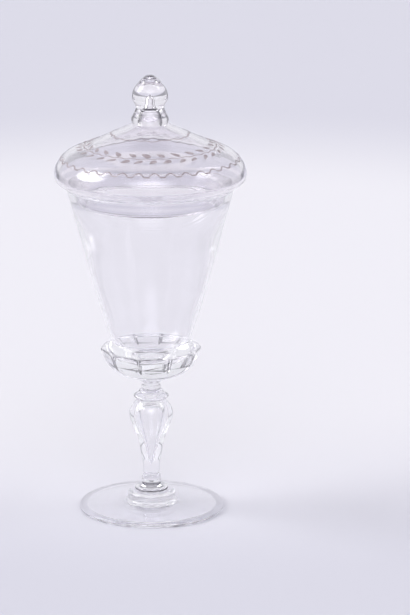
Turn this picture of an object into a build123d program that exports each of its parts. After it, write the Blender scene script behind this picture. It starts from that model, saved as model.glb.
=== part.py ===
from build123d import *
import os
from math import cos, pi

# A covered goblet of clear glass. The axis of the goblet is Z, the foot stands on
# the plane Z = 0, and -Y is the side that is seen first. Lengths are millimetres.

# Foot: a flat disc with a ground ring to stand on and a low boss in the middle
foot_radius = 40.2
foot_edge_height = 2.6
foot_edge_round = 1.0
foot_crown_height = 4.7
foot_hollow_depth = 1.6
ground_ring_width = 6.0
boss_radius = 13.3
boss_height = 5.5
boss_round = 2.4
boss_fillet = 1.6

# Base disc, a small merese between the boss and the stem
base_disc_radius = 9.2
base_disc_height = 3.0
base_disc_neck_radius = 8.0
base_disc_rim_share = 0.8

# Stem ring, two small beads at the foot of the stem
stem_ring_radius = 5.4
stem_ring_height = 6.0
stem_ring_split_share = 0.58

# Stem: an inverted baluster with a sealed air tear inside
stem_height = 43.6
stem_radius = 12.1
stem_foot_radius = 4.5
stem_top_radius = 7.4
stem_tear_radius = 6.4
stem_tear_foot_wall = 5.9
stem_tear_top_wall = 3.6

# Two mereses and the neck knop that carry the bowl
merese_radius = 9.7
merese_height = 3.4
upper_merese_radius = 6.9
upper_merese_foot_radius = 6.0
upper_merese_height = 2.2
knop_radius = 5.4
knop_foot_radius = 4.9
knop_height = 5.0
knop_share = 0.55
neck_radius = 4.6

# Calyx: the thick cup of glass round the bowl's base, cut with flat panels
calyx_foot_radius = 6.4
calyx_overhang = 6.6
calyx_arris_height = 17.8
calyx_shoulder_height = 3.4
calyx_lip_width = 1.9
calyx_lip_height = 1.4
calyx_foot_wall = 6.2
panel_count = 10
panel_tilt = 21.0
panel_turn = 5.0
groove_width = 2.0
groove_depth = 0.75
groove_run = 11.5

# Bowl: a tall blown funnel on a solid base
bowl_foot_radius = 21.4
bowl_rim_radius = 46.0
bowl_wall_height = 87.8
bowl_wall = 2.1
bowl_base_thickness = 8.9
rim_round = 0.6

# Cover: a low blown dome with a rolled shoulder and a flange that drops into the bowl
cover_overhang = 6.5
cover_height = 34.4
cover_wall = 2.6
flange_clearance = 2.8
flange_depth = 9.5
flange_lip_height = 2.6
flange_lip_width = 4.6
flange_lip_wall = 1.6
flange_root_wall = 3.6

# Cover collar and finial: a hollow neck under a pointed knob, with one air tear in both
collar_foot_radius = 9.6
collar_radius = 10.2
collar_height = 8.8
collar_top_radius = 7.6
collar_bore_radius = 4.4
finial_radius = 9.75
finial_height = 18.0
finial_tear_radius = 2.9
finial_tear_height = 6.7

# One overrun for every cutting body
overrun = 1.0

# Outlines, as shares of a piece's own radius and height, from its foot up
stem_outline_shares = [
    (0.378, 0.07), (0.397, 0.163), (0.455, 0.243), (0.555, 0.404), (0.74, 0.58),
    (0.94, 0.72), (1.0, 0.80), (0.973, 0.856), (0.88, 0.91),
]
stem_tear_outline_shares = [
    (0.10, 0.07), (0.20, 0.16), (0.36, 0.34), (0.60, 0.55), (0.90, 0.75), (1.0, 0.85), (0.80, 0.95),
]
calyx_outline_shares = [(0.354, 0.107), (0.618, 0.253), (0.818, 0.50), (0.925, 0.72)]
calyx_crown_share = 1.03
bowl_outline_shares = [(0.145, 0.12), (0.317, 0.275), (0.633, 0.605)]
bowl_floor_shares = [(0.40, 0.0), (0.76, 0.30)]
cover_outline_shares = [
    (0.924, 0.035), (0.968, 0.076), (0.992, 0.125), (1.0, 0.209), (0.987, 0.308), (0.952, 0.401),
    (0.901, 0.488), (0.722, 0.622), (0.472, 0.791),
]
collar_outline_shares = [(1.0, 0.20), (0.99, 0.34), (0.85, 0.67)]
collar_bore_shares = [(0.97, 0.4), (0.90, 0.8)]
finial_outline_shares = [
    (0.863, 0.128), (0.995, 0.256), (1.0, 0.35), (0.883, 0.578), (0.721, 0.70), (0.508, 0.839),
    (0.345, 0.917), (0.173, 0.983),
]
finial_tear_shares = [(0.74, 0.15), (0.66, 0.48), (0.42, 0.80)]

# Radii that follow from the pieces that meet
calyx_arris_radius = bowl_foot_radius + calyx_overhang
calyx_shoulder_radius = bowl_foot_radius + calyx_lip_width
cover_radius = bowl_rim_radius + cover_overhang
cover_seat_radius = bowl_rim_radius - rim_round
flange_top_radius = bowl_rim_radius - bowl_wall - flange_clearance

# Levels where one piece of glass is joined to the next
base_disc_level = foot_crown_height + boss_height
stem_ring_level = base_disc_level + base_disc_height
stem_level = stem_ring_level + stem_ring_height
merese_level = stem_level + stem_height
upper_merese_level = merese_level + merese_height
knop_level = upper_merese_level + upper_merese_height
calyx_level = knop_level + knop_height
arris_level = calyx_level + calyx_arris_height
shoulder_level = arris_level + calyx_shoulder_height
bowl_level = shoulder_level + calyx_lip_height
rim_level = bowl_level + bowl_wall_height
collar_level = rim_level + cover_height
finial_level = collar_level + collar_height

up = (0, 0, 1)
outwards = (1, 0, 0)
inwards = (-1, 0, 0)
spreading = (2, 0, 1)
closing = (-2, 0, 1)
levelling_off = (1, 0, -0.1)
steep = (0.2, 0, 1)


def at(radius, height):
    """A point of an outline, by its distance from the axis and its height."""
    return Vector(radius, 0, height)


def stepped(shares, radius, level, height):
    """The points of a table of shares, at a piece's own radius, level and height."""
    return [at(radius * r, level + height * z) for r, z in shares]


def run(*points):
    """Straight edges from point to point."""
    return [Line(a, b) for a, b in zip(points, points[1:])]


def turn(edges):
    """A solid turned once round the axis from a closed outline."""
    return revolve(make_face(edges), Axis.Z)


def inset(points, wall):
    """The points of a line moved inwards by a wall, square to the line at each point."""
    moved = []
    for i, point in enumerate(points):
        before, after = points[max(i - 1, 0)], points[min(i + 1, len(points) - 1)]
        along = (after - before).normalized()
        moved.append(point + Vector(-along.Z, 0, along.X) * wall)
    return moved


def bulge(low, high, radius):
    """A rounded edge from one point up to another, reaching out to a radius."""
    return Spline(low, at(radius, (low.Z + high.Z) / 2), high, tangents=(spreading, closing))


def foot():
    """The foot: ground ring, shallow hollow underneath, rounded edge and central boss."""
    ring_inner = foot_radius - foot_edge_round - ground_ring_width
    edge_low = at(foot_radius - foot_edge_round, 0)
    edge_high = at(foot_radius - foot_edge_round, foot_edge_height)
    boss_foot = at(boss_radius + boss_fillet, foot_crown_height)
    boss_side = at(boss_radius, foot_crown_height + boss_fillet)
    boss_shoulder = at(boss_radius, base_disc_level - boss_round)
    boss_top = at(boss_radius - boss_round, base_disc_level)
    round_sag = boss_round * (1 - cos(pi / 4))
    fillet_sag = boss_fillet * (1 - cos(pi / 4))
    edges = [Spline(at(0, foot_hollow_depth), at(ring_inner, 0), tangents=(outwards, levelling_off))]
    edges += run(at(ring_inner, 0), edge_low)
    edges.append(bulge(edge_low, edge_high, foot_radius))
    edges += run(edge_high, boss_foot)
    edges.append(ThreePointArc(
        boss_foot, at(boss_radius + fillet_sag, foot_crown_height + fillet_sag), boss_side))
    edges += run(boss_side, boss_shoulder)
    edges.append(ThreePointArc(
        boss_shoulder, at(boss_radius - round_sag, base_disc_level - round_sag), boss_top))
    edges += run(boss_top, at(0, base_disc_level), at(0, foot_hollow_depth))
    return turn(edges)


def base_disc():
    """The small merese on the boss, undercut below its edge."""
    low = at(base_disc_neck_radius, base_disc_level)
    high = at(base_disc_neck_radius, base_disc_level + base_disc_height * base_disc_rim_share)
    top = at(stem_ring_radius, stem_ring_level)
    edges = run(at(0, base_disc_level), low)
    edges.append(bulge(low, high, base_disc_radius))
    edges += run(high, top, at(0, stem_ring_level), at(0, base_disc_level))
    return turn(edges)


def stem_ring():
    """Two beads of glass, one over the other, between the base disc and the stem."""
    waist_radius = (stem_ring_radius + stem_foot_radius) / 2
    low = at(waist_radius, stem_ring_level)
    middle = at(waist_radius, stem_ring_level + stem_ring_height * stem_ring_split_share)
    high = at(stem_foot_radius, stem_level)
    upper_radius = (stem_ring_radius + waist_radius) / 2
    edges = run(at(0, stem_ring_level), low)
    edges.append(bulge(low, middle, stem_ring_radius))
    edges.append(bulge(middle, high, upper_radius))
    edges += run(high, at(0, stem_level), at(0, stem_ring_level))
    return turn(edges)


def stem_tear():
    """The air inside the stem: a drop, pointed below and round above."""
    low = at(0, stem_level + stem_tear_foot_wall)
    height = stem_height - stem_tear_foot_wall - stem_tear_top_wall
    high = at(0, low.Z + height)
    points = stepped(stem_tear_outline_shares, stem_tear_radius, low.Z, height)
    side = Spline(low, *points, high, tangents=(steep, inwards))
    return turn([side, Line(high, low)])


def stem():
    """The inverted baluster stem, wide at its shoulder, round its air tear."""
    low, high = at(stem_foot_radius, stem_level), at(stem_top_radius, merese_level)
    points = stepped(stem_outline_shares, stem_radius, stem_level, stem_height)
    edges = run(at(0, stem_level), low)
    edges.append(Spline(low, *points, high))
    edges += run(high, at(0, merese_level), at(0, stem_level))
    return turn(edges) - stem_tear()


def merese():
    """The wide merese on the stem."""
    low, high = at(stem_top_radius, merese_level), at(stem_top_radius, upper_merese_level)
    edges = run(at(0, merese_level), low)
    edges.append(bulge(low, high, merese_radius))
    edges += run(high, at(0, upper_merese_level), at(0, merese_level))
    return turn(edges)


def upper_merese():
    """The narrow merese under the neck knop."""
    low, high = at(upper_merese_foot_radius, upper_merese_level), at(knop_foot_radius, knop_level)
    edges = run(at(0, upper_merese_level), low)
    edges.append(bulge(low, high, upper_merese_radius))
    edges += run(high, at(0, knop_level), at(0, upper_merese_level))
    return turn(edges)


def neck_knop():
    """A bead, then a short neck that flares out under the calyx."""
    low, middle = at(knop_foot_radius, knop_level), at(neck_radius, knop_level + knop_height * knop_share)
    high = at(calyx_foot_radius, calyx_level)
    neck = at(neck_radius, (middle.Z + high.Z) / 2)
    edges = run(at(0, knop_level), low)
    edges.append(bulge(low, middle, knop_radius))
    edges.append(Spline(middle, neck, high))
    edges += run(high, at(0, calyx_level), at(0, knop_level))
    return turn(edges)


def socket_curve():
    """The round underside of the bowl, which lies in the calyx, from its edge to the axis."""
    depth = bowl_level - calyx_level - calyx_foot_wall
    radius = (bowl_foot_radius ** 2 + depth ** 2) / (2 * depth)
    low = bowl_level - depth
    middle = bowl_foot_radius / 2
    height = low + radius - (radius ** 2 - middle ** 2) ** 0.5
    return ThreePointArc(at(bowl_foot_radius, bowl_level), at(middle, height), at(0, low))


def panel_cuts():
    """What the wheel takes off the calyx: flat panels all round and a groove at each arris."""
    apothem = calyx_arris_radius * cos(pi / panel_count)
    depth = 2 * calyx_arris_radius
    step = 360 / panel_count
    cuts = Part()
    for i in range(panel_count):
        turned = Rot(0, 0, -90 + panel_turn + i * step)
        slab = Box(depth, depth, depth, align=(Align.MIN, Align.CENTER, Align.CENTER))
        cuts += turned * Pos(apothem, 0, arris_level) * Rot(0, panel_tilt, 0) * slab
    side = groove_width / 2 ** 0.5
    bar = Rot(0, 0, 45) * Box(side, side, groove_run, align=(Align.CENTER, Align.CENTER, Align.MAX))
    top = Pos(calyx_arris_radius + groove_width / 2 - groove_depth, 0, arris_level + overrun)
    for i in range(panel_count):
        turned = Rot(0, 0, -90 + panel_turn + (i + 0.5) * step)
        cuts += turned * top * Rot(0, panel_tilt, 0) * bar
    return cuts


def calyx():
    """The cup of thick glass round the bowl's base, with its cut panels."""
    foot_edge = at(calyx_foot_radius, calyx_level)
    crown = at(calyx_arris_radius * calyx_crown_share, arris_level)
    shoulder = at(calyx_shoulder_radius, shoulder_level)
    points = stepped(calyx_outline_shares, calyx_arris_radius, calyx_level, calyx_arris_height)
    socket = socket_curve()
    edges = run(at(0, calyx_level), foot_edge)
    edges.append(Spline(foot_edge, *points, crown))
    edges += run(crown, shoulder, at(bowl_foot_radius, bowl_level))
    edges += [socket, Line(socket @ 1, at(0, calyx_level))]
    return turn(edges) - panel_cuts()


def bowl():
    """The funnel of the bowl, blown thin above its solid round base."""
    flare = bowl_rim_radius - bowl_foot_radius
    outside = [at(bowl_foot_radius, bowl_level)]
    outside += [at(bowl_foot_radius + flare * r, bowl_level + bowl_wall_height * z)
                for r, z in bowl_outline_shares]
    outside.append(at(bowl_rim_radius, rim_level - rim_round))
    inside = inset(outside, bowl_wall)
    inside[-1] = at(bowl_rim_radius - bowl_wall, rim_level - rim_round)
    socket = socket_curve()
    floor_level = (socket @ 1).Z + bowl_base_thickness
    curl = inside[0].Z - floor_level
    floor = [at(inside[0].X * r, floor_level + curl * z) for r, z in bowl_floor_shares]
    land_outer = at(bowl_rim_radius - rim_round, rim_level)
    land_inner = at(bowl_rim_radius - bowl_wall + rim_round, rim_level)
    corner = rim_round * (1 - cos(pi / 4))
    outer_round = at(bowl_rim_radius - corner, rim_level - corner)
    inner_round = at(bowl_rim_radius - bowl_wall + corner, rim_level - corner)
    edges = [socket, Spline(*outside), ThreePointArc(outside[-1], outer_round, land_outer)]
    edges += [Line(land_outer, land_inner), ThreePointArc(land_inner, inner_round, inside[-1])]
    edges.append(Spline(*reversed(inside), *reversed(floor), at(0, floor_level)))
    edges.append(Line(at(0, floor_level), socket @ 1))
    return turn(edges)


def cover_dome():
    """The blown cover: dome, rolled shoulder, flat seat and the flange inside the rim.
    The flange tapers as the bowl's wall does, so its clearance is the same all the way down."""
    rim_share, rim_height_share = bowl_outline_shares[-1]
    wall_lean = (1 - rim_share) / (1 - rim_height_share) * (bowl_rim_radius - bowl_foot_radius)
    flange_radius = flange_top_radius - (flange_depth - flange_lip_height) * wall_lean / bowl_wall_height
    flange_inner_radius = flange_radius - flange_lip_width
    seat_outer = at(cover_seat_radius, rim_level)
    seat_inner = at(flange_top_radius, rim_level)
    outside = stepped(cover_outline_shares, cover_radius, rim_level, cover_height)
    inside = inset([seat_outer, *outside], cover_wall)[2:]
    flange_low = rim_level - flange_depth
    lip_outer = at(flange_radius, flange_low + flange_lip_height)
    lip_bottom = at((flange_radius + flange_inner_radius) / 2, flange_low)
    lip_inner = at(flange_inner_radius, flange_low + flange_lip_wall)
    root = at(flange_top_radius - flange_root_wall, rim_level)
    pole = at(0, collar_level - cover_wall)
    edges = [Spline(seat_outer, *outside, at(collar_foot_radius, collar_level))]
    edges += run(at(collar_foot_radius, collar_level), at(0, collar_level), pole)
    edges += [Spline(pole, *reversed(inside), root), Line(root, lip_inner)]
    edges.append(ThreePointArc(lip_inner, lip_bottom, lip_outer))
    edges += run(lip_outer, seat_inner, seat_outer)
    return turn(edges)


def cover_collar():
    """The hollow neck of the cover, with the lower half of the air tear as its bore."""
    low, high = at(collar_foot_radius, collar_level), at(collar_top_radius, finial_level)
    bore_low, bore_high = at(collar_bore_radius, collar_level), at(finial_tear_radius, finial_level)
    points = stepped(collar_outline_shares, collar_radius, collar_level, collar_height)
    bore = stepped(collar_bore_shares, collar_bore_radius, collar_level, collar_height)
    edges = [Spline(low, *points, high), Spline(bore_high, *reversed(bore), bore_low)]
    edges += [Line(high, bore_high), Line(bore_low, low)]
    return turn(edges)


def finial():
    """The pointed knob, with the tip of the air tear in its foot."""
    low, tip = at(collar_top_radius, finial_level), at(0, finial_level + finial_height)
    points = stepped(finial_outline_shares, finial_radius, finial_level, finial_height)
    tear_low, tear_tip = at(finial_tear_radius, finial_level), at(0, finial_level + finial_tear_height)
    tear = stepped(finial_tear_shares, finial_tear_radius, finial_level, finial_tear_height)
    edges = [Spline(low, *points, tip), Line(tip, tear_tip)]
    edges += [Spline(tear_tip, *reversed(tear), tear_low), Line(tear_low, low)]
    return turn(edges)


pieces = [
    foot, base_disc, stem_ring, stem, merese, upper_merese, neck_knop, calyx, bowl,
    cover_dome, cover_collar, finial,
]
os.makedirs("parts", exist_ok=True)
for piece in pieces:
    export_step(piece(), f"parts/{piece.__name__}.step")
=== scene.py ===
"""A covered goblet of blown glass: its visible pieces, their finishes and a plain studio."""

import functools
import math
import random

import bpy
import numpy as np
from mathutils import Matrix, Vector


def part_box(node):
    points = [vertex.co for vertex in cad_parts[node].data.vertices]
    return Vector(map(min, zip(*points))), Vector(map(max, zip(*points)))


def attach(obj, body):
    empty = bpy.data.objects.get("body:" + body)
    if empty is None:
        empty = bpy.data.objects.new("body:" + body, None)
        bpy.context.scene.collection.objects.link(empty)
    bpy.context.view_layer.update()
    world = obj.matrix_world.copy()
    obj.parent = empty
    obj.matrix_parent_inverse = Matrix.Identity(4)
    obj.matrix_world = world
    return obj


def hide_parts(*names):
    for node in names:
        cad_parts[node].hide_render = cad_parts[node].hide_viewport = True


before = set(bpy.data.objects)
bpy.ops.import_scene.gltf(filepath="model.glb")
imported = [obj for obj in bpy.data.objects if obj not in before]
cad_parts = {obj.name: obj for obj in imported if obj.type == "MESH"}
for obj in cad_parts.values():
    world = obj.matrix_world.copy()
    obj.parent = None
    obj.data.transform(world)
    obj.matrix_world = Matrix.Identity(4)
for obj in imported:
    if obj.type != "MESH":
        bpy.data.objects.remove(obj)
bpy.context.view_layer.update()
node_boxes = {node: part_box(node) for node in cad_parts}

bl_info = {
    "name": "Covered goblet",
    "version": (1, 0, 0),
    "blender": (4, 5, 0),
    "location": "3D View > Sidebar > Goblet",
    "description": "Makes a covered goblet of blown glass with a cut calyx and an enamelled cover",
    "category": "Object",
}

MM = 0.001
OUTWARDS, INWARDS, UPWARDS, DOWNWARDS = (1, 0), (-1, 0), (0, 1), (0, -1)
SPREADING, CLOSING = (2, 1), (-2, 1)

# Outlines, as shares of each piece's own radius and height, from its foot up
STEM_SHARES = [
    (0.378, 0.07), (0.397, 0.163), (0.455, 0.243), (0.555, 0.404), (0.74, 0.58),
    (0.94, 0.72), (1.0, 0.80), (0.973, 0.856), (0.88, 0.91),
]
STEM_TEAR_SHARES = [
    (0.10, 0.07), (0.20, 0.16), (0.36, 0.34), (0.60, 0.55), (0.90, 0.75), (1.0, 0.85), (0.80, 0.95),
]
CALYX_SHARES = [(0.354, 0.107), (0.618, 0.253), (0.818, 0.50), (0.925, 0.72)]
BOWL_SHARES = [(0.145, 0.12), (0.317, 0.275), (0.633, 0.605)]
BOWL_FLOOR_SHARES = [(0.40, 0.0), (0.76, 0.30)]
COVER_SHARES = [
    (0.924, 0.035), (0.968, 0.076), (0.992, 0.125), (1.0, 0.209), (0.987, 0.308), (0.952, 0.401),
    (0.901, 0.488), (0.722, 0.622), (0.472, 0.791),
]
COLLAR_SHARES = [(1.0, 0.20), (0.99, 0.34), (0.85, 0.67)]
COLLAR_BORE_SHARES = [(0.86, 0.35), (0.71, 0.75)]
FINIAL_SHARES = [
    (0.863, 0.128), (0.995, 0.256), (1.0, 0.35), (0.883, 0.578), (0.721, 0.70), (0.508, 0.839),
    (0.345, 0.917), (0.173, 0.983),
]
FINIAL_TEAR_SHARES = [(0.74, 0.15), (0.66, 0.48), (0.42, 0.80)]

# Radii where one gather is fused to the next
DISC_FOOT = 8.0 * MM
RING_FOOT = 4.95 * MM
STEM_FOOT = 4.5 * MM
STEM_TOP = 7.4 * MM
UPPER_MERESE_FOOT = 6.0 * MM
KNOP_FOOT = 4.9 * MM
BOWL_FOOT = 21.4 * MM
COLLAR_FOOT = 9.6 * MM
COLLAR_TOP = 7.6 * MM

# Widest radii that the pieces' boxes don't give
BEAD = 5.4 * MM
STEM = 12.1 * MM
CALYX_ARRIS = 28.0 * MM
COVER = 52.5 * MM
COLLAR = 10.2 * MM
FINIAL = 9.75 * MM

# The collar is open into the dome here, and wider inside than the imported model's
COLLAR_BORE = 7.2 * MM
COVER_TEAR = 2.9 * MM

# The cut panels, in degrees: the first faces the front, at -90, turned on by 5, and all lean by 21
PANEL_START = -90 + 5
PANEL_TILT = 21

# The enamel is held a hair off the glass, so that no two skins lie in one place
ENAMEL_LIFT = 0.03 * MM

# The camera, and the lamps as their direction and half their spread in degrees
CAMERA_PLACE = (0.02983, -1.84231, 0.59984)
CAMERA_TILT = 75.247
CAMERA_LENS = 202.56
SENSOR_WIDTH = 36
LAMPS = [((-0.80, 0.05, 0.60), 20), ((0.69, 0.05, 0.72), 12)]
FRONT_LIGHT = (0, -0.717, 0.697)


def foot_of(node):
    """The height of a node's lowest point."""
    return node_boxes[node][0].z


def top_of(node):
    """The height of a node's highest point."""
    return node_boxes[node][1].z


def reach_of(node):
    """The largest radius of a node."""
    return node_boxes[node][1].x


class GobletForm(bpy.types.PropertyGroup):
    """Sizes of the glass that can be changed."""
    steps: bpy.props.IntProperty(
        name="Turning steps", description="Faces once round the goblet", default=160, min=40)
    step_length: bpy.props.FloatProperty(
        name="Step length", description="Length of a face along an outline",
        default=1.1 * MM, min=0.2 * MM, unit="LENGTH")
    bowl_wall: bpy.props.FloatProperty(
        name="Bowl wall", description="Thickness of the blown bowl", default=2.1 * MM, unit="LENGTH")
    cover_wall: bpy.props.FloatProperty(
        name="Cover wall", description="Thickness of the blown cover", default=2.6 * MM, unit="LENGTH")
    panels: bpy.props.IntProperty(
        name="Panels", description="Flat panels cut on the calyx", default=10, min=3)


class GobletGlass(bpy.types.PropertyGroup):
    """Colours and clearness of the glass."""
    tint: bpy.props.FloatVectorProperty(
        name="Glass tint", description="Colour of the goblet's glass", subtype="COLOR", size=4,
        default=(0.965, 0.962, 0.975, 1.0), min=0, max=1)
    cover_tint: bpy.props.FloatVectorProperty(
        name="Cover tint", description="Colour of the cover's glass", subtype="COLOR", size=4,
        default=(0.95, 0.935, 0.955, 1.0), min=0, max=1)
    # Dark edge is the colour that painted shade turns to: on thick glass and the air tear seen edge on,
    # on the dark seams, and on the ground edges and the foot rim.
    edge: bpy.props.FloatVectorProperty(
        name="Dark edge", description="Colour of unpolished edges, and of thick glass seen edge on",
        subtype="COLOR", size=4, default=(0.07, 0.065, 0.08, 1.0), min=0, max=1)
    index: bpy.props.FloatProperty(
        name="Refraction", description="Refractive index of the glass", default=1.51, min=1, max=2.5)
    ripple: bpy.props.FloatProperty(
        name="Ripple", description="Height of the waves that blowing leaves in the skin",
        default=0.03 * MM, unit="LENGTH")


class GobletEnamel(bpy.types.PropertyGroup):
    """Colours and sizes of the painted enamel."""
    colour: bpy.props.FloatVectorProperty(
        name="Enamel", description="Colour of the fired enamel", subtype="COLOR", size=4,
        default=(0.31, 0.26, 0.27, 1.0), min=0, max=1)
    worn: bpy.props.FloatVectorProperty(
        name="Worn enamel", description="Colour of the enamel where it is thin", subtype="COLOR",
        size=4, default=(0.45, 0.40, 0.42, 1.0), min=0, max=1)
    line: bpy.props.FloatProperty(
        name="Line width", description="Width of a painted line", default=0.62 * MM, unit="LENGTH")
    depth: bpy.props.FloatProperty(
        name="Enamel thickness", description="Thickness of the painted enamel",
        default=0.08 * MM, unit="LENGTH")
    leaf_length: bpy.props.FloatProperty(
        name="Leaf length", description="Length of a leaf", default=5.6 * MM, unit="LENGTH")
    leaf_width: bpy.props.FloatProperty(
        name="Leaf width", description="Width of a leaf", default=3.3 * MM, unit="LENGTH")


class GobletStage(bpy.types.PropertyGroup):
    """Colours and light of the studio."""
    # Floor is the table top's colour in the middle of its painted pool of light.
    floor: bpy.props.FloatVectorProperty(
        name="Floor", description="Colour of the table top", subtype="COLOR", size=4,
        default=(0.745, 0.735, 0.76, 1.0), min=0, max=1)
    # The table top's colour where its painted pool of light has faded.
    floor_far: bpy.props.FloatVectorProperty(
        name="Floor further off", description="Colour of the table top away from its bright middle",
        subtype="COLOR", size=4, default=(0.605, 0.60, 0.655, 1.0), min=0, max=1)
    desk: bpy.props.FloatVectorProperty(
        name="Desk", description="Colour of the desk beyond the pale sheet", subtype="COLOR", size=4,
        default=(0.25, 0.25, 0.27, 1.0), min=0, max=1)
    horizon: bpy.props.FloatVectorProperty(
        name="Horizon light", description="Colour of the bright backdrop all round", subtype="COLOR",
        size=4, default=(0.85, 0.85, 0.90, 1.0), min=0, max=1)
    ceiling: bpy.props.FloatVectorProperty(
        name="Ceiling", description="Colour of the dark room above", subtype="COLOR", size=4,
        default=(0.18, 0.17, 0.20, 1.0), min=0, max=1)
    room: bpy.props.FloatProperty(
        name="Room", description="Brightness of the room in front of the table, as a share",
        default=0.95, min=0, max=1)
    softbox: bpy.props.FloatProperty(
        name="Softbox", description="Brightness of the soft lamps", default=5.2, min=0)


class Wire:
    """A shader socket that takes part in sums: each operator adds its Math node."""

    def __init__(self, paint, socket):
        self.paint, self.socket = paint, socket

    def _math(self, operation, *values):
        return self.paint.node("ShaderNodeMath", {"operation": operation}, dict(enumerate(values)))

    def __add__(self, other):
        return self._math("ADD", self, other)

    def __mul__(self, other):
        return self._math("MULTIPLY", self, other)

    __radd__, __rmul__ = __add__, __mul__


class Paint:
    """The node tree of a material or of the world."""

    def __init__(self, owner):
        owner.use_nodes = True
        self.owner, self.tree = owner, owner.node_tree
        self.tree.nodes.clear()

    def node(self, kind, settings=None, values=None, output=0):
        """Adds a node: its settings first, then its sockets' values or links."""
        made = self.tree.nodes.new(kind)
        for name, setting in (settings or {}).items():
            setattr(made, name, setting)
        for name, value in (values or {}).items():
            if isinstance(value, Wire):
                self.tree.links.new(value.socket, made.inputs[name])
            else:
                made.inputs[name].default_value = value
        return Wire(self, made.outputs[output]) if len(made.outputs) else None

    def place(self):
        """The piece's own coordinates, in metres."""
        return self.node("ShaderNodeTexCoord", output="Object")

    def parts(self, vector):
        """The three numbers of a vector."""
        first = self.node("ShaderNodeSeparateXYZ", {}, {0: vector})
        return [Wire(self, out) for out in first.socket.node.outputs]

    def stretched(self, vector, scale):
        """A vector with each of its numbers scaled."""
        return self.node("ShaderNodeMapping", {}, {"Vector": vector, "Scale": scale})

    def noise(self, vector, scale, detail):
        """A cloud pattern between 0 and 1."""
        return self.node("ShaderNodeTexNoise", {}, {"Vector": vector, "Scale": scale, "Detail": detail})

    def span(self, value, low, high, to_low=0.0, to_high=1.0):
        """A number moved smoothly from one range to another."""
        return self.node(
            "ShaderNodeMapRange", {"interpolation_type": "SMOOTHSTEP"},
            {"Value": value, "From Min": low, "From Max": high, "To Min": to_low, "To Max": to_high})

    def mixed(self, share, first, second):
        """One colour turning into another."""
        made = self.tree.nodes.new("ShaderNodeMix")
        made.data_type = "RGBA"
        for socket, value in ((made.inputs[0], share), (made.inputs[6], first), (made.inputs[7], second)):
            if isinstance(value, Wire):
                self.tree.links.new(value.socket, socket)
            else:
                socket.default_value = value
        return Wire(self, made.outputs[2])

    def measured(self, operation, vector, other):
        """The number that a vector operation gives."""
        return self.node(
            "ShaderNodeVectorMath", {"operation": operation}, {0: vector, 1: other}, output="Value")

    def edge_on(self):
        """How far the skin is turned away from the eye: 0 seen square on, 1 seen edge on."""
        return self.node("ShaderNodeLayerWeight", {}, {"Blend": 0.5}, output="Facing")

    def bump(self, height, distance):
        """A surface normal raised by a pattern."""
        return self.node("ShaderNodeBump", {}, {"Height": height, "Distance": distance, "Strength": 1.0})

    def finish(self, values):
        """The main shader, on the surface of the material."""
        shader = self.node("ShaderNodeBsdfPrincipled", {}, values)
        self.node("ShaderNodeOutputMaterial", {}, {"Surface": shader})
        return self.owner


def made_once(make):
    """Lets pieces share a material: it is made, under its own name, when the first one asks for it."""
    @functools.wraps(make)
    def shared():
        return bpy.data.materials.get(make.__name__) or make(make.__name__)
    return shared


def glass(name, tint, streak, haze, shade_from=1.0, deepest_shade=0.0):
    """Clear glass: faint waves in its skin, long streaks and a few dull, rubbed places.

    Thick glass also gets painted shade where it is seen edge on, from a share of that view up: its colour
    darkens and it turns metallic.
    """
    sizes = bpy.context.scene.goblet_glass
    paint = Paint(bpy.data.materials.new(name))
    place = paint.place()
    waves = paint.noise(place, 70.0, 2.0)
    streaks = paint.noise(paint.stretched(place, (1.0, 1.0, streak)), 160.0, 2.0)
    rubbed = paint.span(paint.noise(place, 45.0, 6.0), 0.58, 0.75, 0.0, haze)
    shade = paint.mixed(paint.span(waves, 0.3, 0.7), tint, [c * 0.985 for c in tint[:3]] + [1.0])
    # Painted shade: the colour darkens towards the dark edge colour, and turns metallic, where thick
    # glass is seen edge on.
    painted_shade = paint.span(paint.edge_on(), shade_from, shade_from + 0.22, 0.0, deepest_shade)
    return paint.finish({
        "Base Color": paint.mixed(painted_shade, shade, sizes.edge),
        "Metallic": painted_shade,
        "Roughness": rubbed,
        "IOR": sizes.index,
        "Transmission Weight": 1.0,
        "Normal": paint.bump(waves + streaks * 0.35, sizes.ripple),
    })


@made_once
def blown_goblet(name):
    """The goblet's glass."""
    return glass(name, bpy.context.scene.goblet_glass.tint, 0.12, 0.03)


@made_once
def blown_cover(name):
    """The cover's glass, a little warmer and duller."""
    return glass(name, bpy.context.scene.goblet_glass.cover_tint, 1.0, 0.05)


@made_once
def solid_goblet(name):
    """The thick glass of the stem and its discs, with painted shade where it is seen edge on."""
    return glass(name, bpy.context.scene.goblet_glass.tint, 0.12, 0.03, 0.66, 0.6)


@made_once
def solid_cover(name):
    """The thick glass of the cover's knob, with painted shade where it is seen edge on."""
    return glass(name, bpy.context.scene.goblet_glass.cover_tint, 1.0, 0.05, 0.6, 0.8)


@made_once
def tear_skin(name):
    """The skin of the cover's bore and air tear, with painted shade where it is seen edge on: its colour
    darkens and it turns metallic.
    """
    colours = bpy.context.scene.goblet_glass
    paint = Paint(bpy.data.materials.new(name))
    # Painted shade: the colour darkens and turns metallic where the skin is seen edge on.
    edge_on = paint.edge_on()
    return paint.finish({
        "Base Color": paint.mixed(paint.span(edge_on, 0.15, 0.55), colours.cover_tint, colours.edge),
        "Metallic": paint.span(edge_on, 0.45, 0.7, 0.0, 0.9),
        "Roughness": 0.03,
        "IOR": colours.index,
        "Transmission Weight": 1.0,
    })


@made_once
def fused_joint(name):
    """The hidden face where two gathers are melted into one: light goes straight through it."""
    paint = Paint(bpy.data.materials.new(name))
    return paint.finish({"Base Color": (1, 1, 1, 1), "Alpha": 0.0, "Roughness": 0.0})


@made_once
def trapped_seam(name):
    """Painted shade: a thin dark band, patchy in strength, where two gathers meet."""
    paint = Paint(bpy.data.materials.new(name))
    patchy = paint.noise(paint.place(), 180.0, 3.0)
    return paint.finish({
        "Base Color": (*bpy.context.scene.goblet_glass.edge[:3], 1.0),
        "Roughness": 0.4,
        "Alpha": paint.span(patchy, 0.3, 0.6, 0.45, 0.95),
    })


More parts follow.
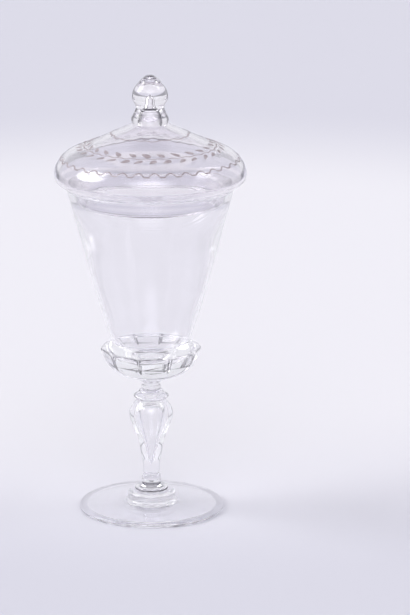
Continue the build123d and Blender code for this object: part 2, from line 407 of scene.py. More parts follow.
def unpolished(name, worn_from, worn_to):
    """Glass that was never quite polished out: rougher, with painted shade in its colour, and clearer
    where the pattern is high.
    """
    colours = bpy.context.scene.goblet_glass
    paint = Paint(bpy.data.materials.new(name))
    # Painted shade: where the pattern is low the colour goes to the dark edge colour; the glass is
    # rougher there too.
    worn = paint.span(paint.noise(paint.place(), 260.0, 3.0), worn_from, worn_to)
    return paint.finish({
        "Base Color": paint.mixed(worn, colours.edge, colours.tint),
        "Roughness": paint.span(worn, 0.0, 1.0, 0.22, 0.08),
        "IOR": colours.index,
        "Transmission Weight": 1.0,
    })


@made_once
def ground_edge(name):
    """The narrow edge that the cutter's wheel leaves round a panel: left rough, and darkened with painted
    shade.
    """
    return unpolished(name, 0.45, 0.8)


@made_once
def foot_rim(name):
    """The foot's edge, rubbed dull in places where it touched shelves, and darkened there with painted
    shade.
    """
    return unpolished(name, 0.3, 0.6)


@made_once
def fired_enamel(name):
    """Fired enamel, brushed on by hand: thinner and paler in places, with a dull skin."""
    colours = bpy.context.scene.goblet_enamel
    paint = Paint(bpy.data.materials.new(name))
    place = paint.place()
    thin = paint.span(paint.noise(place, 420.0, 5.0), 0.42, 0.66)
    return paint.finish({
        "Base Color": paint.mixed(thin, colours.colour, colours.worn),
        "Roughness": paint.span(thin, 0.0, 1.0, 0.42, 0.62),
        "Normal": paint.bump(paint.noise(place, 900.0, 4.0), 0.05 * MM),
    })


@made_once
def table_top(name):
    """The pale table top: a matt sheet with a painted pool of light, brightest just behind the goblet and
    dimmer further off, on a darker desk.
    """
    colours = bpy.context.scene.goblet_stage
    paint = Paint(bpy.data.materials.new(name))
    place = paint.place()
    # Painted light: a pool of light, brightest near a point just behind the goblet and fading further
    # off.
    from_middle = paint.measured("DISTANCE", place, (0, 0.5, 0))
    light_pool_falloff = paint.span(from_middle + paint.noise(place, 3.0, 4.0) * 0.02, 0.32, 0.64)
    sheet = paint.mixed(light_pool_falloff, colours.floor, colours.floor_far)
    half_width, half_depth, centre = 0.6, 1.5, 1.1
    shrunk = paint.stretched(place, (1 / half_width, 1 / half_depth, 1))
    reach = paint.measured("DISTANCE", shrunk, (0, centre / half_depth, 0))
    behind = paint.span(paint.parts(place)[1], -0.5, 0.3, 0.3, 1.0)
    desk = paint.mixed(behind, colours.floor_far, colours.desk)
    return paint.finish({
        "Base Color": paint.mixed(paint.span(reach, 1.0, 1.02), sheet, desk),
        "Roughness": 0.75,
        "Specular IOR Level": 0.2,
    })


def line(points, start=None, end=None):
    """Points along a smooth line through the given ones, which may set out and arrive in a direction."""
    step = bpy.context.scene.goblet_form.step_length
    knots = np.array(points, float)
    gaps = np.linalg.norm(np.diff(knots, axis=0), axis=1)
    slopes = np.diff(knots, axis=0) / gaps[:, None]
    count = len(knots)
    sums, wanted = np.zeros((count, count)), np.zeros((count, 2))
    for i in range(1, count - 1):
        before, after = gaps[i - 1], gaps[i]
        sums[i, i - 1:i + 2] = after, 2 * (before + after), before
        wanted[i] = 3 * (after * slopes[i - 1] + before * slopes[i])
    for i, other, slope, way in ((0, 1, slopes[0], start), (-1, -2, slopes[-1], end)):
        if way is None:
            sums[i, i], sums[i, other], wanted[i] = 2, 1, 3 * slope
        else:
            sums[i, i], wanted[i] = 1, np.array(way) / np.linalg.norm(way)
    ways = np.linalg.solve(sums, wanted)
    made = [knots[0]]
    for i, gap in enumerate(gaps):
        parts = max(4, math.ceil(gap / step))
        for t in (k / parts for k in range(1, parts + 1)):
            made.append(
                (2 * t**3 - 3 * t**2 + 1) * knots[i] + (t**3 - 2 * t**2 + t) * gap * ways[i]
                + (3 * t**2 - 2 * t**3) * knots[i + 1] + (t**3 - t**2) * gap * ways[i + 1])
    return [tuple(point) for point in made]


def straight(a, b):
    """Points along a straight line."""
    step = bpy.context.scene.goblet_form.step_length * 3
    parts = max(1, math.ceil(math.dist(a, b) / step))
    return [tuple(np.array(a) + (np.array(b) - a) * k / parts) for k in range(parts + 1)]


def chain(*runs):
    """Runs of points in one outline, without a point twice."""
    made = [runs[0][0]]
    for run in runs:
        made += [point for point in run if math.dist(point, made[-1]) > MM / 1000]
    return made


def path(*corners):
    """Straight runs from corner to corner."""
    return chain(*[straight(a, b) for a, b in zip(corners, corners[1:])])


def bulge(low, high, radius):
    """A rounded edge that reaches out to a radius."""
    return line([low, (radius, (low[1] + high[1]) / 2), high], SPREADING, CLOSING)


def placed(shares, radius, low, height):
    """A table of shares at a piece's own radius and height."""
    return [(radius * r, low + height * z) for r, z in shares]


def inset(points, wall):
    """Points moved inwards by a wall, square to their line."""
    moved = []
    for i, point in enumerate(points):
        (x0, z0), (x1, z1) = points[max(i - 1, 0)], points[min(i + 1, len(points) - 1)]
        length = math.hypot(x1 - x0, z1 - z0)
        moved.append((point[0] - (z1 - z0) / length * wall, point[1] + (x1 - x0) / length * wall))
    return moved


def pick(*pieces):
    """Selects pieces and nothing else; the first becomes the active one."""
    bpy.ops.object.select_all(action="DESELECT")
    for piece in pieces:
        piece.select_set(True)
    bpy.context.view_layer.objects.active = pieces[0]


def turned(name, outline):
    """A skin turned once round the axis: one vertex is drawn out along the outline, then spun."""
    bpy.ops.object.select_all(action="DESELECT")
    bpy.ops.mesh.primitive_plane_add(size=MM)
    piece = bpy.context.object
    piece.name = piece.data.name = name
    bpy.ops.object.mode_set(mode="EDIT")
    bpy.ops.mesh.merge(type="CENTER")
    bpy.ops.transform.translate(value=(outline[0][0], 0, outline[0][1]))
    for (x0, z0), (x1, z1) in zip(outline, outline[1:]):
        bpy.ops.mesh.extrude_region_move(TRANSFORM_OT_translate={"value": (x1 - x0, 0, z1 - z0)})
    bpy.ops.mesh.select_all(action="SELECT")
    bpy.ops.mesh.spin(
        steps=bpy.context.scene.goblet_form.steps, angle=2 * math.pi, center=(0, 0, 0), axis=(0, 0, 1))
    bpy.ops.mesh.select_all(action="SELECT")
    bpy.ops.mesh.remove_doubles(threshold=MM / 500)
    bpy.ops.mesh.normals_make_consistent(inside=False)
    bpy.ops.object.mode_set(mode="OBJECT")
    return piece


def in_order():
    """Puts the picked points, edges and faces in one order, whatever order a cut left them in.

    They go by their distance from a place that is off every line of symmetry.
    """
    cursor = bpy.context.scene.cursor
    cursor.location = (3.1 * MM, 1.7 * MM, 77.3 * MM)
    bpy.ops.mesh.sort_elements(type="CURSOR_DISTANCE", elements={"VERT", "EDGE", "FACE"})
    cursor.location = (0, 0, 0)


def with_hollow(piece, outline):
    """Adds a closed air space inside a solid piece."""
    hollow = turned(piece.name + "_air", outline)
    hollow.data.flip_normals()
    pick(piece, hollow)
    bpy.ops.object.join()


def settle(piece, node, body, material, fused=None, angle=28):
    """Gives a piece its finish, its fused faces and its body, and hides the node that it stands for.

    Finishes that the piece already has stay, and only its plain skin can be fused.
    """
    finishes = piece.data.materials
    if not finishes:
        finishes.append(material)
    if fused:
        if len(finishes) < 2:
            finishes.append(fused_joint())
        for face in piece.data.polygons:
            if face.material_index < 2:
                face.material_index = int(fused(face.center, face.normal))
    pick(piece)
    bpy.ops.object.shade_smooth_by_angle(angle=math.radians(angle))
    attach(piece, body)
    if node:
        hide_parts(node)


def lined(piece, finish, low, high, reach, inner=0.0):
    """Gives the skin between two heights and two radii a finish of its own."""
    piece.data.materials.append(finish)
    for face in piece.data.polygons:
        radius = math.hypot(face.center.x, face.center.y)
        if face.material_index == 0 and low < face.center.z < high and inner < radius < reach:
            face.material_index = len(piece.data.materials) - 1


def level_faces(*levels):
    """A test for the level faces of a joint, each given as its height and its inner and outer radius."""
    def fused(centre, normal):
        radius = math.hypot(centre.x, centre.y)
        return any(
            abs(normal.z) > 0.999 and abs(centre.z - height) < MM / 100 and low < radius < high
            for height, low, high in levels)
    return fused


class GOBLET_OT_foot(bpy.types.Operator):
    """Turn the foot, with its ground ring, the hollow under it and its boss"""
    bl_idname = "goblet.foot"
    bl_label = "Foot"

    def execute(self, context):
        edge, top = reach_of("foot"), top_of("foot")
        edge_start, edge_height = edge - 1.0 * MM, 2.6 * MM
        ring_start, hollow = edge_start - 3.5 * MM, 1.6 * MM
        boss, rounding, bend = 13.3 * MM, 2.4 * MM, 0.7 * MM
        crown, fillet_top = (boss + 1.6 * MM, 4.65 * MM), (boss, 6.2 * MM)
        foot = turned("foot_glass", chain(
            line([(0, hollow), (ring_start, 0)], OUTWARDS, (1, -0.1)),
            straight((ring_start, 0), (edge_start, 0)),
            bulge((edge_start, 0), (edge_start, edge_height), edge),
            straight((edge_start, edge_height), crown),
            line([crown, fillet_top], INWARDS, UPWARDS),
            line([(boss, top - rounding), (boss - bend, top - bend), (boss - rounding, top)],
                 UPWARDS, INWARDS),
            path((boss - rounding, top), (DISC_FOOT, top), (0, top))))
        settle(foot, "foot", "goblet", blown_goblet(), level_faces((top, 0, DISC_FOOT)))
        worn_low, worn_high = 0.1 * MM, 1.2 * MM
        lined(foot, foot_rim(), worn_low, worn_high, edge, edge_start - 0.2 * MM)
        return {"FINISHED"}


class GOBLET_OT_stem(bpy.types.Operator):
    """Turn the base disc, the stem ring, the stem with its air tear, the mereses and the neck knop"""
    bl_idname = "goblet.stem"
    bl_label = "Stem, discs and knop"

    def turn(self, node, outline, lower, upper, tear=None):
        """One turned piece, fused below and above over the given radii."""
        piece = turned(node + "_glass", outline)
        if tear:
            with_hollow(piece, tear)
        settle(piece, node, "goblet", solid_goblet(),
               level_faces((foot_of(node), 0, lower), (top_of(node), 0, upper)))
        return piece

    def execute(self, context):
        self.base_disc()
        self.stem_ring()
        self.baluster()
        self.mereses()
        self.knop()
        return {"FINISHED"}

    def base_disc(self):
        """The small disc on the foot's boss, with a dark band of painted shade round its edge."""
        radius, low, high = reach_of("base_disc"), foot_of("base_disc"), top_of("base_disc")
        edge_top = low + (high - low) * 0.8
        disc = self.turn("base_disc", chain(
            path((0, low), (DISC_FOOT, low)), bulge((DISC_FOOT, low), (DISC_FOOT, edge_top), radius),
            path((DISC_FOOT, edge_top), (BEAD, high), (RING_FOOT, high), (0, high))),
            DISC_FOOT, RING_FOOT)
        lined(disc, trapped_seam(), low + 0.55 * MM, low + 1.55 * MM, radius)

    def stem_ring(self):
        """Two small beads, the upper one narrower."""
        low, high = foot_of("stem_ring"), top_of("stem_ring")
        waist, upper_bead = low + (high - low) * 0.58, 5.17 * MM
        self.turn("stem_ring", chain(
            path((0, low), (RING_FOOT, low)), bulge((RING_FOOT, low), (RING_FOOT, waist), BEAD),
            bulge((RING_FOOT, waist), (STEM_FOOT, high), upper_bead),
            path((STEM_FOOT, high), (0, high))), RING_FOOT, STEM_FOOT)

    def baluster(self):
        """The stem itself, with the air tear sealed inside."""
        low, high = foot_of("stem"), top_of("stem")
        tear_low, tear_high, tear = low + 5.9 * MM, high - 3.6 * MM, 6.4 * MM
        self.turn("stem", chain(
            path((0, low), (STEM_FOOT, low)),
            line([(STEM_FOOT, low), *placed(STEM_SHARES, STEM, low, high - low), (STEM_TOP, high)]),
            path((STEM_TOP, high), (0, high))), STEM_FOOT, STEM_TOP,
            line([(0, tear_low), *placed(STEM_TEAR_SHARES, tear, tear_low, tear_high - tear_low),
                  (0, tear_high)], (0.2, 1), INWARDS))

    def mereses(self):
        """The wide disc on the stem, with a dark band of painted shade under its edge, and the narrow one
        over it.
        """
        radius, low, high = reach_of("merese"), foot_of("merese"), top_of("merese")
        disc = self.turn("merese", chain(
            path((0, low), (STEM_TOP, low)), bulge((STEM_TOP, low), (STEM_TOP, high), radius),
            path((STEM_TOP, high), (UPPER_MERESE_FOOT, high), (0, high))), STEM_TOP, UPPER_MERESE_FOOT)
        lined(disc, trapped_seam(), low + 0.25 * MM, low + 0.6 * MM, radius)

        radius, low, high = 6.9 * MM, foot_of("upper_merese"), top_of("upper_merese")
        self.turn("upper_merese", chain(
            path((0, low), (UPPER_MERESE_FOOT, low)),
            bulge((UPPER_MERESE_FOOT, low), (KNOP_FOOT, high), radius),
            path((KNOP_FOOT, high), (0, high))), UPPER_MERESE_FOOT, KNOP_FOOT)

    def knop(self):
        """The bead under the bowl, and the short neck that flares out to the calyx."""
        low, high = foot_of("neck_knop"), top_of("neck_knop")
        bead_top, neck, flare = low + (high - low) * 0.55, 4.6 * MM, reach_of("neck_knop")
        piece = self.turn("neck_knop", chain(
            path((0, low), (KNOP_FOOT, low)), bulge((KNOP_FOOT, low), (neck, bead_top), BEAD),
            line([(neck, bead_top), (neck, (bead_top + high) / 2), (flare, high)]),
            path((flare, high), (0, high))), KNOP_FOOT, flare)
        # A dark band of painted shade at the foot of the bead.
        lined(piece, trapped_seam(), low, low + 0.35 * MM, BEAD)


def bed():
    """The round underside of the bowl: the points from its edge to the axis, its centre and radius."""
    low, edge_height, parts = foot_of("bowl"), top_of("calyx"), 24
    depth = edge_height - low
    radius = (BOWL_FOOT**2 + depth**2) / (2 * depth)
    sweep = math.asin(min(1.0, BOWL_FOOT / radius))
    centre = low + radius
    turns = [sweep * (1 - k / parts) for k in range(parts + 1)]
    points = [(radius * math.sin(turn), centre - radius * math.cos(turn)) for turn in turns]
    return points, centre, radius


def bed_faces(centre_height, radius, *levels):
    """A test for the faces on the bowl's round underside, and on level joints."""
    level = level_faces(*levels)

    def fused(centre, normal):
        reach = math.dist(centre, (0, 0, centre_height))
        return abs(reach - radius) < MM / 20 and centre.z < centre_height or level(centre, normal)
    return fused


class GOBLET_OT_calyx(bpy.types.Operator):
    """Turn the calyx, cut its flat panels and grind a groove at each arris"""
    bl_idname = "goblet.calyx"
    bl_label = "Cut calyx"

    def execute(self, context):
        panels = context.scene.goblet_form.panels
        low, foot = foot_of("calyx"), reach_of("neck_knop")
        crown, crown_reach = low + 17.8 * MM, CALYX_ARRIS * 1.03
        shoulder = (BOWL_FOOT + 1.9 * MM, top_of("calyx") - 1.4 * MM)
        bed_points, bed_centre, bed_radius = bed()
        piece = turned("calyx_glass", chain(
            path((0, low), (foot, low)),
            line([(foot, low), *placed(CALYX_SHARES, CALYX_ARRIS, low, crown - low),
                  (crown_reach, crown)]),
            path((crown_reach, crown), shoulder), line([shoulder, bed_points[0]]), bed_points))
        tilt = math.radians(PANEL_TILT)
        for k in range(panels):
            turn = math.radians(PANEL_START + k * 360 / panels)
            out = Vector((math.cos(turn), math.sin(turn), 0))
            bpy.ops.object.mode_set(mode="EDIT")
            bpy.ops.mesh.select_all(action="SELECT")
            bpy.ops.mesh.bisect(
                plane_co=out * CALYX_ARRIS * math.cos(math.pi / panels) + Vector((0, 0, crown)),
                plane_no=out * math.cos(tilt) - Vector((0, 0, math.sin(tilt))),
                use_fill=True, clear_outer=True, threshold=MM / 1000)
            bpy.ops.object.mode_set(mode="OBJECT")
        self.groove(piece, panels, crown, tilt)
        self.ground_edges(piece, shoulder[0] + 0.3 * MM)
        settle(piece, "calyx", "goblet", blown_goblet(),
               bed_faces(bed_centre, bed_radius, (low, 0, foot)), 22)
        return {"FINISHED"}

    def groove(self, piece, panels, crown, tilt):
        """Takes a V out of the glass along each arris."""
        width, depth, run, over = 2.0 * MM, 0.75 * MM, 11.5 * MM, 1.0 * MM
        side = width / math.sqrt(2)
        bpy.ops.object.select_all(action="DESELECT")
        bpy.ops.mesh.primitive_cube_add(
            size=1, location=(0, 0, -run / 2), rotation=(0, 0, math.pi / 4), scale=(side, side, run))
        bar = bpy.context.object
        bpy.ops.object.transform_apply(location=True, rotation=True, scale=True)
        bar.rotation_euler = (0, tilt, 0)
        bar.location = (CALYX_ARRIS + width / 2 - depth, 0, crown + over)
        bpy.ops.object.transform_apply(location=True, rotation=True, scale=True)
        bars = []
        for k in range(panels):
            copy = bar.copy()
            copy.data = bar.data.copy()
            bpy.context.collection.objects.link(copy)
            copy.rotation_euler = (0, 0, math.radians(PANEL_START + (k + 0.5) * 360 / panels))
            bars.append(copy)
        bpy.data.objects.remove(bar)
        pick(*bars)
        bpy.ops.object.transform_apply(location=True, rotation=True, scale=True)
        bpy.ops.object.join()
        cutter = bpy.context.object
        pick(piece)
        cut = piece.modifiers.new("grooves", "BOOLEAN")
        cut.operation, cut.solver, cut.object = "DIFFERENCE", "EXACT", cutter
        bpy.ops.object.modifier_apply(modifier=cut.name)
        bpy.data.objects.remove(cutter)

    def ground_edges(self, piece, inner):
        """Bevels the sharp edges outside a radius, and gives the narrow faces their own finish, rough and
        with painted shade.
        """
        smallest, sharp, width = 0.12 * MM, math.radians(20), 0.38 * MM
        for finish in (blown_goblet(), fused_joint(), ground_edge()):
            piece.data.materials.append(finish)
        bpy.ops.object.mode_set(mode="EDIT")
        bpy.ops.mesh.select_all(action="SELECT")
        in_order()
        bpy.ops.mesh.remove_doubles(threshold=smallest)
        bpy.ops.mesh.select_mode(type="EDGE")
        bpy.ops.mesh.select_all(action="DESELECT")
        bpy.ops.mesh.edges_select_sharp(sharpness=sharp)
        bpy.ops.object.mode_set(mode="OBJECT")
        for edge in piece.data.edges:
            ends = [piece.data.vertices[i].co for i in edge.vertices]
            edge.select = edge.select and min(math.hypot(end.x, end.y) for end in ends) > inner
        bpy.ops.object.mode_set(mode="EDIT")
        bpy.ops.mesh.bevel(offset=width, segments=1, material=2, clamp_overlap=False)
        bpy.ops.mesh.select_mode(type="VERT")
        bpy.ops.object.mode_set(mode="OBJECT")


class GOBLET_OT_bowl(bpy.types.Operator):
    """Turn the funnel of the bowl on its solid round base"""
    bl_idname = "goblet.bowl"
    bl_label = "Bowl"

    def execute(self, context):
        wall, base = context.scene.goblet_form.bowl_wall, 8.9 * MM
        rim, level, low = reach_of("bowl"), top_of("bowl"), top_of("calyx")
        bed_points, bed_centre, bed_radius = bed()
        outside = [(BOWL_FOOT, low)]
        outside += [
            (BOWL_FOOT + (rim - BOWL_FOOT) * r, low + (level - low) * z) for r, z in BOWL_SHARES]
        outside.append((rim, level - wall / 2))
        inside = inset(outside, wall)
        inside[-1] = (rim - wall, level - wall / 2)
        floor = foot_of("bowl") + base
        ground = [
            (inside[0][0] * r, floor + (inside[0][1] - floor) * z) for r, z in BOWL_FLOOR_SHARES]
        piece = turned("bowl_glass", chain(
            bed_points[::-1], line(outside),
            line([outside[-1], (rim - wall / 2, level), inside[-1]], UPWARDS, DOWNWARDS),
            line([*inside[::-1], *ground[::-1], (0, floor)], DOWNWARDS, INWARDS)))
        settle(piece, "bowl", "goblet", blown_goblet(),
               bed_faces(bed_centre, bed_radius))
        return {"FINISHED"}


def cover_outside():
    """The cover's outer points, from its seat to the collar."""
    base, rim_round = top_of("bowl"), 0.6 * MM
    height = top_of("cover_dome") - base
    seat = (reach_of("bowl") - rim_round, base)
    return [seat, *placed(COVER_SHARES, COVER, base, height), (COLLAR_FOOT, base + height)]


class GOBLET_OT_cover(bpy.types.Operator):
    """Turn the dome of the cover with its rolled shoulder, its seat and its flange"""
    bl_idname = "goblet.cover"
    bl_label = "Cover"

    def execute(self, context):
        form, play = context.scene.goblet_form, 2.8 * MM
        lip_width, lip_height, lip_wall, root_wall = 4.6 * MM, 2.6 * MM, 1.6 * MM, 3.6 * MM
        outside = cover_outside()
        base, top = outside[0][1], outside[-1][1]
        inside = inset(outside, form.cover_wall)[2:]
        root = reach_of("bowl") - form.bowl_wall - play
        low, lip = foot_of("cover_dome"), root - 1.8 * MM
        lip_inner = (lip - lip_width, low + lip_wall)
        lip_outer = (lip, low + lip_height)
        piece = turned("cover_dome_glass", chain(
            straight((COLLAR_BORE, top), inside[-1]),
            line([*inside[::-1], (root - root_wall, base)]),
            straight((root - root_wall, base), lip_inner),
            line([lip_inner, (lip - lip_width / 2, low), lip_outer]),
            path(lip_outer, (root, base), outside[0]), line(outside),
            straight(outside[-1], (COLLAR_BORE, top))))
        settle(piece, "cover_dome", "lid", blown_cover(),
               level_faces((top, COLLAR_BORE, COLLAR_FOOT)))
        return {"FINISHED"}


class GOBLET_OT_finial(bpy.types.Operator):
    """Turn the hollow collar and the pointed finial over it"""
    bl_idname = "goblet.finial"
    bl_label = "Collar and finial"

    def execute(self, context):
        self.collar()
        self.knob()
        return {"FINISHED"}

    def collar(self):
        """The hollow neck, with a dark band of painted shade at its top where the knob closes the air
        tear's mouth, and painted shade on its bore where it is seen edge on.
        """
        low, high = foot_of("cover_collar"), top_of("cover_collar")
        bore = placed(COLLAR_BORE_SHARES, COLLAR_BORE, low, high - low)
        piece = turned("collar_glass", chain(
            line([(COLLAR_FOOT, low), *placed(COLLAR_SHARES, COLLAR, low, high - low),
                  (COLLAR_TOP, high)]),
            straight((COLLAR_TOP, high), (COVER_TEAR, high)),
            line([(COVER_TEAR, high), *bore[::-1], (COLLAR_BORE, low)]),
            straight((COLLAR_BORE, low), (COLLAR_FOOT, low))))
        settle(piece, "cover_collar", "lid", blown_cover(),
               level_faces((low, COLLAR_BORE, COLLAR_FOOT), (high, COVER_TEAR, COLLAR_TOP)))
        lined(piece, trapped_seam(), high - 0.6 * MM, high, COVER_TEAR + 0.5 * MM)
        lined(piece, tear_skin(), low, high - 1.2 * MM, COLLAR_BORE * 1.01)

    def knob(self):
        """The pointed finial, with the tip of the air tear in it."""
        low, tear_height = foot_of("finial"), 6.7 * MM
        height = top_of("finial") - low
        tip, tear_tip = (0, low + height), (0, low + tear_height)
        tear = placed(FINIAL_TEAR_SHARES, COVER_TEAR, low, tear_height)
        piece = turned("finial_glass", chain(
            line([tear_tip, *tear[::-1], (COVER_TEAR, low)]),
            straight((COVER_TEAR, low), (COLLAR_TOP, low)),
            line([(COLLAR_TOP, low), *placed(FINIAL_SHARES, FINIAL, low, height), tip])))
        settle(piece, "finial", "lid", solid_cover(),
               level_faces((low, COVER_TEAR, COLLAR_TOP)))
        # Painted shade: a dark band at the foot of the air tear, and darkening on the tear's skin where
        # it is seen edge on.
        lined(piece, trapped_seam(), low, low + 0.4 * MM, COVER_TEAR)
        lined(piece, tear_skin(), low, tear_tip[1], COVER_TEAR)


@functools.cache
def cover_slope():
    """The cover's outline from its widest place up to the collar."""
    outline = line(cover_outside())
    return outline[max(range(len(outline)), key=lambda i: outline[i][0]):]


def cover_height(radius):
    """The height of the cover's skin at a radius."""
    for (x0, z0), (x1, z1) in zip(cover_slope(), cover_slope()[1:]):
        if x1 <= radius <= x0:
            return z0 + (z1 - z0) * (x0 - radius) / (x0 - x1)
    raise ValueError("no skin at that radius")


def ring_point(radius, angle):
    """A point on the cover's skin; the angle starts at the front and goes to the right."""
    return (radius * math.sin(angle), -radius * math.cos(angle), cover_height(radius))


def skin_below(vertex):
    """The height of the cover's skin under or over a vertex."""
    return cover_height(math.hypot(vertex.co.x, vertex.co.y))


def enamelled(piece):
    """Gives a painted piece its enamel, and lets it ride on the cover."""
    settle(piece, None, "lid", fired_enamel(), angle=60)


def brushed_ring(name, radii):
    """A painted line round the cover, through one radius after another."""
    sizes = bpy.context.scene.goblet_enamel
    bpy.ops.object.select_all(action="DESELECT")
    bpy.ops.curve.primitive_nurbs_circle_add(radius=COVER)
    ring = bpy.context.object
    ring.name = ring.data.name = name
    spline = ring.data.splines[0]
    spline.points.add(len(radii) - len(spline.points))
    for k, radius in enumerate(radii):
        spline.points[k].co = (*ring_point(radius, 2 * math.pi * k / len(radii)), 1)
    spline.order_u, spline.use_cyclic_u = 3, True
    ring.data.resolution_u, ring.data.bevel_resolution = 2, 2
    ring.data.bevel_depth = sizes.line / 2
    bpy.ops.object.convert(target="MESH")
    ring = bpy.context.object
    flat = sizes.depth / sizes.line
    for vertex in ring.data.vertices:
        skin = skin_below(vertex)
        vertex.co.z = skin + (vertex.co.z - skin) * flat + sizes.depth / 2 + ENAMEL_LIFT
    enamelled(ring)


class GOBLET_OT_wreath(bpy.types.Operator):
    """Paint the vine round the cover, with its two rows of leaves"""
    bl_idname = "goblet.wreath"
    bl_label = "Painted wreath"

    def execute(self, context):
        dice = random.Random(4)
        vine, sway, waves, steps = 36.1 * MM, 0.35 * MM, 31, 240
        brushed_ring("wreath_vine", [
            vine + sway * math.sin(2 * math.pi * waves * k / steps) for k in range(steps)])
        self.row("wreath_leaves_lower", 31, vine + 2.9 * MM, 3.5, 1, dice)
        self.row("wreath_leaves_upper", 26, vine - 2.9 * MM, -2.5, -1, dice)
        return {"FINISHED"}

    def leaf(self, length, width):
        """One flat leaf, pointed in front and blunt behind, divided so that it can follow the skin."""
        fullness, border = 1.3, 0.2
        bpy.ops.object.select_all(action="DESELECT")
        bpy.ops.mesh.primitive_circle_add(vertices=16, radius=0.5, fill_type="NGON")
        leaf = bpy.context.object
        leaf.scale = (length, width, 1)
        bpy.ops.object.transform_apply(scale=True)
        for vertex in leaf.data.vertices:
            share = vertex.co.x / length + 0.5
            vertex.co.y *= fullness * math.sqrt(max(0.0, 1.0 - share))
        bpy.ops.object.mode_set(mode="EDIT")
        bpy.ops.mesh.select_all(action="SELECT")
        bpy.ops.mesh.inset(thickness=width * border)
        bpy.ops.mesh.poke()
        bpy.ops.object.mode_set(mode="OBJECT")
        return leaf

    def row(self, name, count, radius, first, side, dice):
        """A ring of leaves along the vine, laid on the cover's skin, narrower at the cover's sides."""
        sizes = bpy.context.scene.goblet_enamel
        lean, narrowing = -34, 0.4
        leaves = []
        for k in range(count):
            angle = math.radians(first + 360 / count * k + dice.uniform(-0.9, 0.9))
            length = sizes.leaf_length * dice.uniform(0.88, 1.1)
            width = sizes.leaf_width * dice.uniform(0.85, 1.1) * (1 - narrowing * abs(math.sin(angle)))
            leaf = self.leaf(length, width)
            turn = side * math.radians(lean + dice.uniform(-8, 8))
            leaf.location = ring_point(radius, angle)
            leaf.rotation_euler = (0, 0, angle + math.pi - turn)
            leaves.append(leaf)
        pick(*leaves)
        bpy.ops.object.transform_apply(location=True, rotation=True, scale=True)
        bpy.ops.object.join()
        piece = bpy.context.object
        piece.name = piece.data.name = name
        wrap = piece.modifiers.new("lay", "SHRINKWRAP")
        wrap.target = bpy.data.objects["cover_dome_glass"]
        bpy.ops.object.modifier_apply(modifier=wrap.name)
        for vertex in piece.data.vertices:
            vertex.co.z = max(vertex.co.z, skin_below(vertex)) + ENAMEL_LIFT
        coat = piece.modifiers.new("coat", "SOLIDIFY")
        coat.thickness, coat.offset = sizes.depth, 1.0
        bpy.ops.object.modifier_apply(modifier=coat.name)
        enamelled(piece)


class GOBLET_OT_waves(bpy.types.Operator):
    """Paint the wavy line on the cover's shoulder and the small one under the collar"""
    bl_idname = "goblet.waves"
    bl_label = "Painted wavy lines"

    def execute(self, context):
        self.shoulder_wave()
        self.collar_wave()
        return {"FINISHED"}

    def shoulder_wave(self):
        """Round arches with a short flat between them, lower at the cover's sides."""
        arches, steps, arch = 35, 20, 14
        reach, height, flatter = 49.1 * MM, 1.9 * MM, 0.45
        radii = []
        for k in range(arches * steps):
            side = abs(math.sin(2 * math.pi * k / steps / arches))
            rise = abs(math.sin(math.pi * min(k % steps, arch) / arch))
            radii.append(reach - height * rise * (1 - flatter * side))
        brushed_ring("shoulder_wave", radii)

    def collar_wave(self):
        """An uneven hand-drawn ring: a quick wave and a slow one."""
        reach, steps = 21.4 * MM, 240
        quick, slow = (0.35 * MM, 17), (0.3 * MM, 7)
        turns = [2 * math.pi * k / steps for k in range(steps)]
        brushed_ring("collar_wave", [
            reach + quick[0] * math.sin(quick[1] * turn) + slow[0] * math.sin(slow[1] * turn + 1)
            for turn in turns])


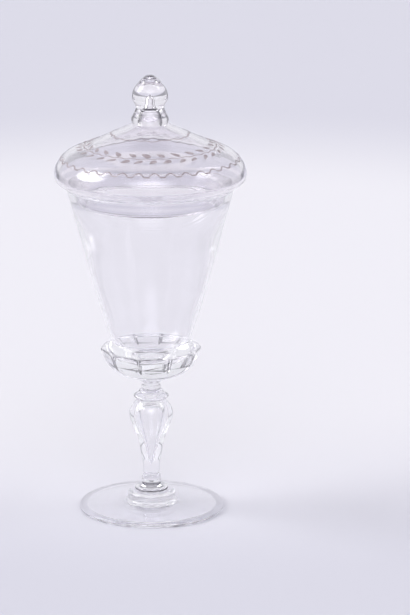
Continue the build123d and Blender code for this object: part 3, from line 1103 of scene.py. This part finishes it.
class GOBLET_OT_stage(bpy.types.Operator):
    """Set out the table top, the soft light and the camera"""
    bl_idname = "goblet.stage"
    bl_label = "Studio"

    def execute(self, context):
        scene = context.scene
        bpy.ops.object.select_all(action="DESELECT")
        bpy.ops.mesh.primitive_circle_add(vertices=96, radius=6, fill_type="NGON")
        floor = context.object
        floor.name = floor.data.name = "table_top"
        floor.data.materials.append(table_top())
        self.light(scene)
        bpy.ops.object.camera_add(location=CAMERA_PLACE, rotation=(math.radians(CAMERA_TILT), 0, 0))
        camera = context.object
        camera.data.lens, camera.data.sensor_width = CAMERA_LENS, SENSOR_WIDTH
        camera.data.clip_start, camera.data.clip_end = 0.05, 60
        scene.camera = camera
        scene.view_settings.view_transform = "Standard"
        self.clear_through(scene.cycles)
        return {"FINISHED"}

    def clear_through(self, cycles):
        """Lets light pass through many skins of glass, one behind another."""
        skins = 96
        cycles.max_bounces = skins
        cycles.transmission_bounces, cycles.glossy_bounces = skins, skins
        cycles.transparent_max_bounces = 64
        cycles.blur_glossy, cycles.sample_clamp_indirect = 0, 30

    def light(self, scene):
        """A bright backdrop all round, a dim ceiling and large soft lamps in it."""
        colours = scene.goblet_stage
        world = bpy.data.worlds.new("studio")
        scene.world = world
        paint = Paint(world)
        way = paint.node("ShaderNodeTexCoord", output="Generated")
        depth, height = paint.parts(way)[1:]
        sky = paint.mixed(paint.span(height, 0.78, 0.90), colours.horizon, colours.ceiling)
        strength = paint.span(depth, -0.85, -0.45, colours.room, 1.0)
        for direction, spread in LAMPS:
            near = paint.measured("DOT_PRODUCT", way, Vector(direction).normalized())
            edge = math.cos(math.radians(spread))
            lamp = paint.span(near, edge, edge + 0.03)
            sky = paint.mixed(lamp, sky, (1.0, 1.0, 1.0, 1.0))
            strength = lamp * colours.softbox + strength
        front = paint.measured("DOT_PRODUCT", way, FRONT_LIGHT)
        strength = paint.span(front, 0.86, 1.0, 0.0, 3.0) + strength
        glow = paint.node("ShaderNodeBackground", {}, {"Color": sky, "Strength": strength})
        paint.node("ShaderNodeOutputWorld", {}, {"Surface": glow})


class GOBLET_PT_panel(bpy.types.Panel):
    """The goblet's sizes and colours, and a button for each piece"""
    bl_idname = "GOBLET_PT_panel"
    bl_label = "Covered goblet"
    bl_space_type = "VIEW_3D"
    bl_region_type = "UI"
    bl_category = "Goblet"

    def draw(self, context):
        for name in GROUPS:
            box = self.layout.box()
            group = getattr(context.scene, name)
            for setting in group.__annotations__:
                box.prop(group, setting)
        for operator in OPERATORS:
            self.layout.operator(operator.bl_idname)


GROUPS = {
    "goblet_form": GobletForm,
    "goblet_glass": GobletGlass,
    "goblet_enamel": GobletEnamel,
    "goblet_stage": GobletStage,
}
OPERATORS = [
    GOBLET_OT_stage, GOBLET_OT_foot, GOBLET_OT_stem, GOBLET_OT_calyx, GOBLET_OT_bowl,
    GOBLET_OT_cover, GOBLET_OT_finial, GOBLET_OT_wreath, GOBLET_OT_waves,
]


def register():
    """Adds the settings, the operators and the panel to Blender."""
    for kind in [*GROUPS.values(), *OPERATORS, GOBLET_PT_panel]:
        bpy.utils.register_class(kind)
    for name, group in GROUPS.items():
        setattr(bpy.types.Scene, name, bpy.props.PointerProperty(type=group))


def unregister():
    """Takes them away again."""
    for name in GROUPS:
        delattr(bpy.types.Scene, name)
    for kind in [GOBLET_PT_panel, *OPERATORS[::-1], *list(GROUPS.values())[::-1]]:
        bpy.utils.unregister_class(kind)


def main():
    """Makes the goblet piece by piece."""
    register()
    bpy.ops.goblet.stage()
    bpy.ops.goblet.foot()
    bpy.ops.goblet.stem()
    bpy.ops.goblet.calyx()
    bpy.ops.goblet.bowl()
    bpy.ops.goblet.cover()
    bpy.ops.goblet.finial()
    bpy.ops.goblet.wreath()
    bpy.ops.goblet.waves()


if __name__ == "__main__":
    main()
